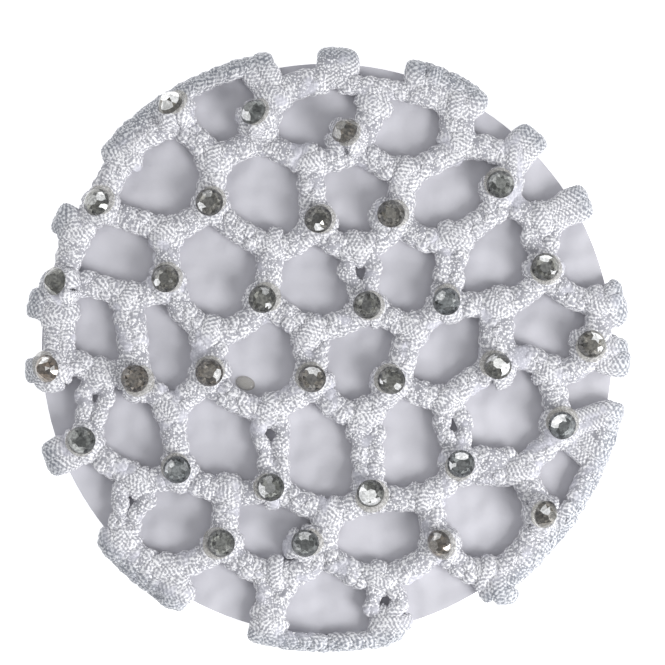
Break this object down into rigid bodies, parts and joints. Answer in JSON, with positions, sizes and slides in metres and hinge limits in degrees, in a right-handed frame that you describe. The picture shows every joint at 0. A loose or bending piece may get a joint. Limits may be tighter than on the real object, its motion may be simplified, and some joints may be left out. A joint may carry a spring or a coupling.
{
  "type": "hairnet on round display card",
  "caption": "Crocheted ribbon bun net with flat-back rhinestones on its knots, gathered by an elastic and stretched over a plain round display card.",
  "frame": {"origin": "on the surface that the net's back rests on, under the middle of the card", "axes": "+Z out of the front, where the stones look; +Y to the pictured upper edge"},
  "size_m": [0.1039, 0.105, 0.0108],
  "materials": {
    "ribbon": "shiny white knitted polyester ribbon, crocheted",
    "elastic": "white covered elastic",
    "card": "matte white card",
    "rhinestone": "faceted crystal with a foiled flat back"
  },
  "bodies": {
    "root": {"net": "ribbon", "elastic": "elastic", "display_card": "card", "stone_a1": "rhinestone", "stone_a2": "rhinestone", "stone_a3": "rhinestone", "stone_b1": "rhinestone", "stone_b2": "rhinestone", "stone_b3": "rhinestone", "stone_b4": "rhinestone", "stone_b5": "rhinestone", "stone_c1": "rhinestone", "stone_c2": "rhinestone", "stone_c3": "rhinestone", "stone_c4": "rhinestone", "stone_c5": "rhinestone", "stone_c6": "rhinestone", "stone_d1": "rhinestone", "stone_d2": "rhinestone", "stone_d3": "rhinestone", "stone_d4": "rhinestone", "stone_d5": "rhinestone", "stone_d6": "rhinestone", "stone_d7": "rhinestone", "stone_e1": "rhinestone", "stone_e2": "rhinestone", "stone_e3": "rhinestone", "stone_e4": "rhinestone", "stone_e5": "rhinestone", "stone_e6": "rhinestone", "stone_f2": "rhinestone", "stone_f3": "rhinestone", "stone_f4": "rhinestone", "stone_f5": "rhinestone"}
  },
  "joints": []
}
